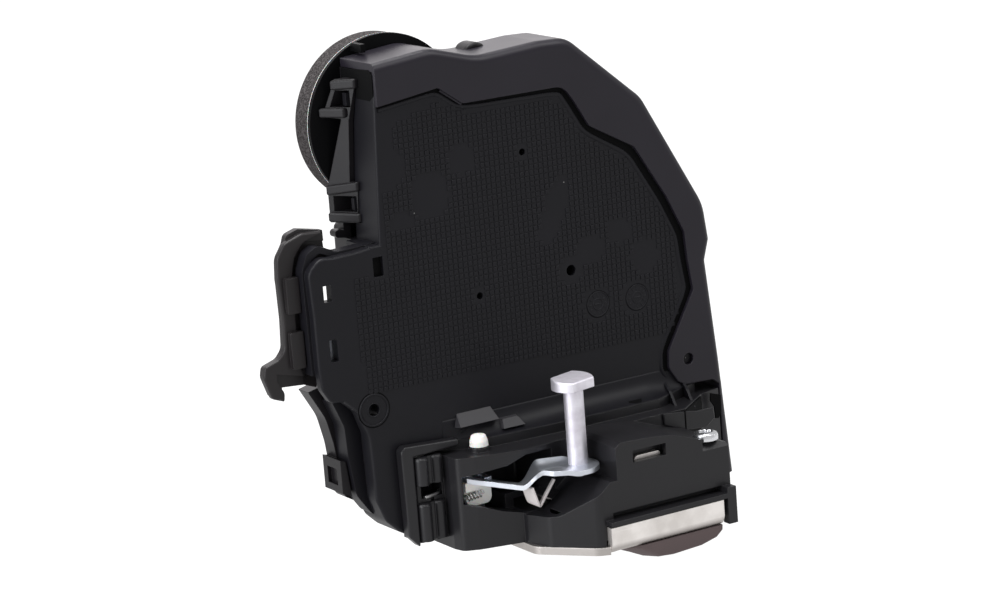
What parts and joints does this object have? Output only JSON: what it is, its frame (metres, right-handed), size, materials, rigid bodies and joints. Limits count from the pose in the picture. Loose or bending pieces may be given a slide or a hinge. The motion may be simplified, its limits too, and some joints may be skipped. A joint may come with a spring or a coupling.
{
  "type": "car door latch actuator",
  "caption": "Side-door latch with its power-lock actuator: ribbed black case, round sealed connector, lever with a tall stud, steel base plate with striker slot.",
  "frame": {"origin": "on the base plate's outer face, in the metal between the claw pivot and the striker slot", "axes": "+Z from the base plate up into the actuator, -Y out of the actuator's outboard face, +X towards the shielded edge"},
  "size_m": [0.1611, 0.0745, 0.1638],
  "materials": {
    "case_black": "satin black moulded plastic",
    "shield_black": "satin black moulded plastic",
    "cover_black": "smoother black moulded plastic",
    "latch_black": "satin black moulded plastic, slightly greyer",
    "cable_black": "satin black moulded plastic",
    "connector_black": "black moulded plastic",
    "foam": "dark grey-brown closed-cell foam",
    "tin": "tinned terminals",
    "zinc_plate": "zinc-plated pressed steel",
    "zinc_lever": "bright bluish zinc plating",
    "zinc_stud": "matte zinc casting",
    "screw_zinc": "bright zinc plating",
    "hard_steel": "hardened steel",
    "spring_steel": "spring wire",
    "nylon_white": "natural white nylon",
    "claw_plastic": "black over-moulding",
    "rubber_brown": "brown-grey rubber",
    "bumper_rubber": "black rubber",
    "motor_steel": "motor can",
    "gear_white": "natural acetal",
    "worm_brass": "turned worm",
    "switch_black": "switch body"
  },
  "bodies": {
    "housing": {"actuator_case": "case_black", "weather_shield": "shield_black", "case_cover": "cover_black", "connector_housing": "connector_black", "connector_seal": "foam", "connector_terminals": "tin", "cable_cover": "cable_black", "latch_body": "latch_black", "base_plate": "zinc_plate", "back_plate": "zinc_plate", "claw_pin": "hard_steel", "pawl_pin": "hard_steel", "claw_spring": "spring_steel", "pawl_spring": "spring_steel", "striker_bumper": "bumper_rubber", "striker_pad": "rubber_brown", "lever_pivot": "hard_steel", "lever_spring": "spring_steel", "motor_can": "motor_steel", "wheel_axle": "hard_steel", "position_switch": "switch_black", "case_screws": "screw_zinc", "latch_screw": "screw_zinc"},
    "claw": {"claw": "hard_steel", "claw_cover": "claw_plastic"},
    "pawl": {"pawl": "hard_steel"},
    "outside_lever": {"outside_lever": "zinc_lever", "outside_lever_stud": "zinc_stud", "lever_bush": "nylon_white"},
    "open_link": {"open_link": "zinc_lever"},
    "lock_lever": {"lock_shaft": "nylon_white", "lock_knob": "nylon_white"},
    "inside_lever": {"inside_lever": "zinc_lever"},
    "worm_wheel": {"worm_wheel": "gear_white", "lock_crank": "gear_white"},
    "worm": {"worm": "worm_brass"}
  },
  "joints": [
    {"name": "claw_turn", "type": "hinge", "parent": "housing", "child": "claw", "pos_m": [-0.006, -0.003, 0.0057], "axis": [0, 0, 1], "range_deg": [-55, 0], "deforming": ["claw_spring"]},
    {"name": "outside_pull", "type": "hinge", "parent": "housing", "child": "outside_lever", "pos_m": [-0.038, -0.006, 0.0189], "axis": [0, -1, 0], "range_deg": [0, 12], "stiffness_Nm_per_rad": 0.3, "springref_deg": -8.59, "deforming": ["lever_spring"]},
    {"name": "pawl_turn", "type": "hinge", "parent": "housing", "child": "pawl", "pos_m": [0.022, -0.02, 0.0057], "axis": [0, 0, 1], "range_deg": [0, 12], "deforming": ["pawl_spring"]},
    {"name": "link_lift", "type": "slide", "parent": "housing", "child": "open_link", "axis": [0, 0, 1], "range_m": [0, 0.0012]},
    {"name": "lock_turn", "type": "hinge", "parent": "housing", "child": "lock_lever", "pos_m": [-0.0354, -0.0065, 0.03], "axis": [0, 0, 1], "range_deg": [-18, 18]},
    {"name": "inside_pull", "type": "hinge", "parent": "housing", "child": "inside_lever", "pos_m": [-0.075, 0.005, 0.068], "axis": [0, 1, 0], "range_deg": [0, 20]},
    {"name": "wheel_turn", "type": "hinge", "parent": "housing", "child": "worm_wheel", "pos_m": [-0.008, 0.012, 0.0898], "axis": [0, 1, 0], "range_deg": [-20, 20]},
    {"name": "worm_turn", "type": "hinge", "parent": "housing", "child": "worm", "pos_m": [-0.008, 0.012, 0.1062], "axis": [1, 0, 0], "range_deg": [-724, 724]}
  ],
  "couplings": [
    {"joint": "pawl_turn", "follows": "outside_pull", "ratio": 0.9},
    {"joint": "link_lift", "follows": "outside_pull", "m_per_rad": 0.0053},
    {"joint": "worm_turn", "follows": "wheel_turn", "ratio": -36}
  ]
}
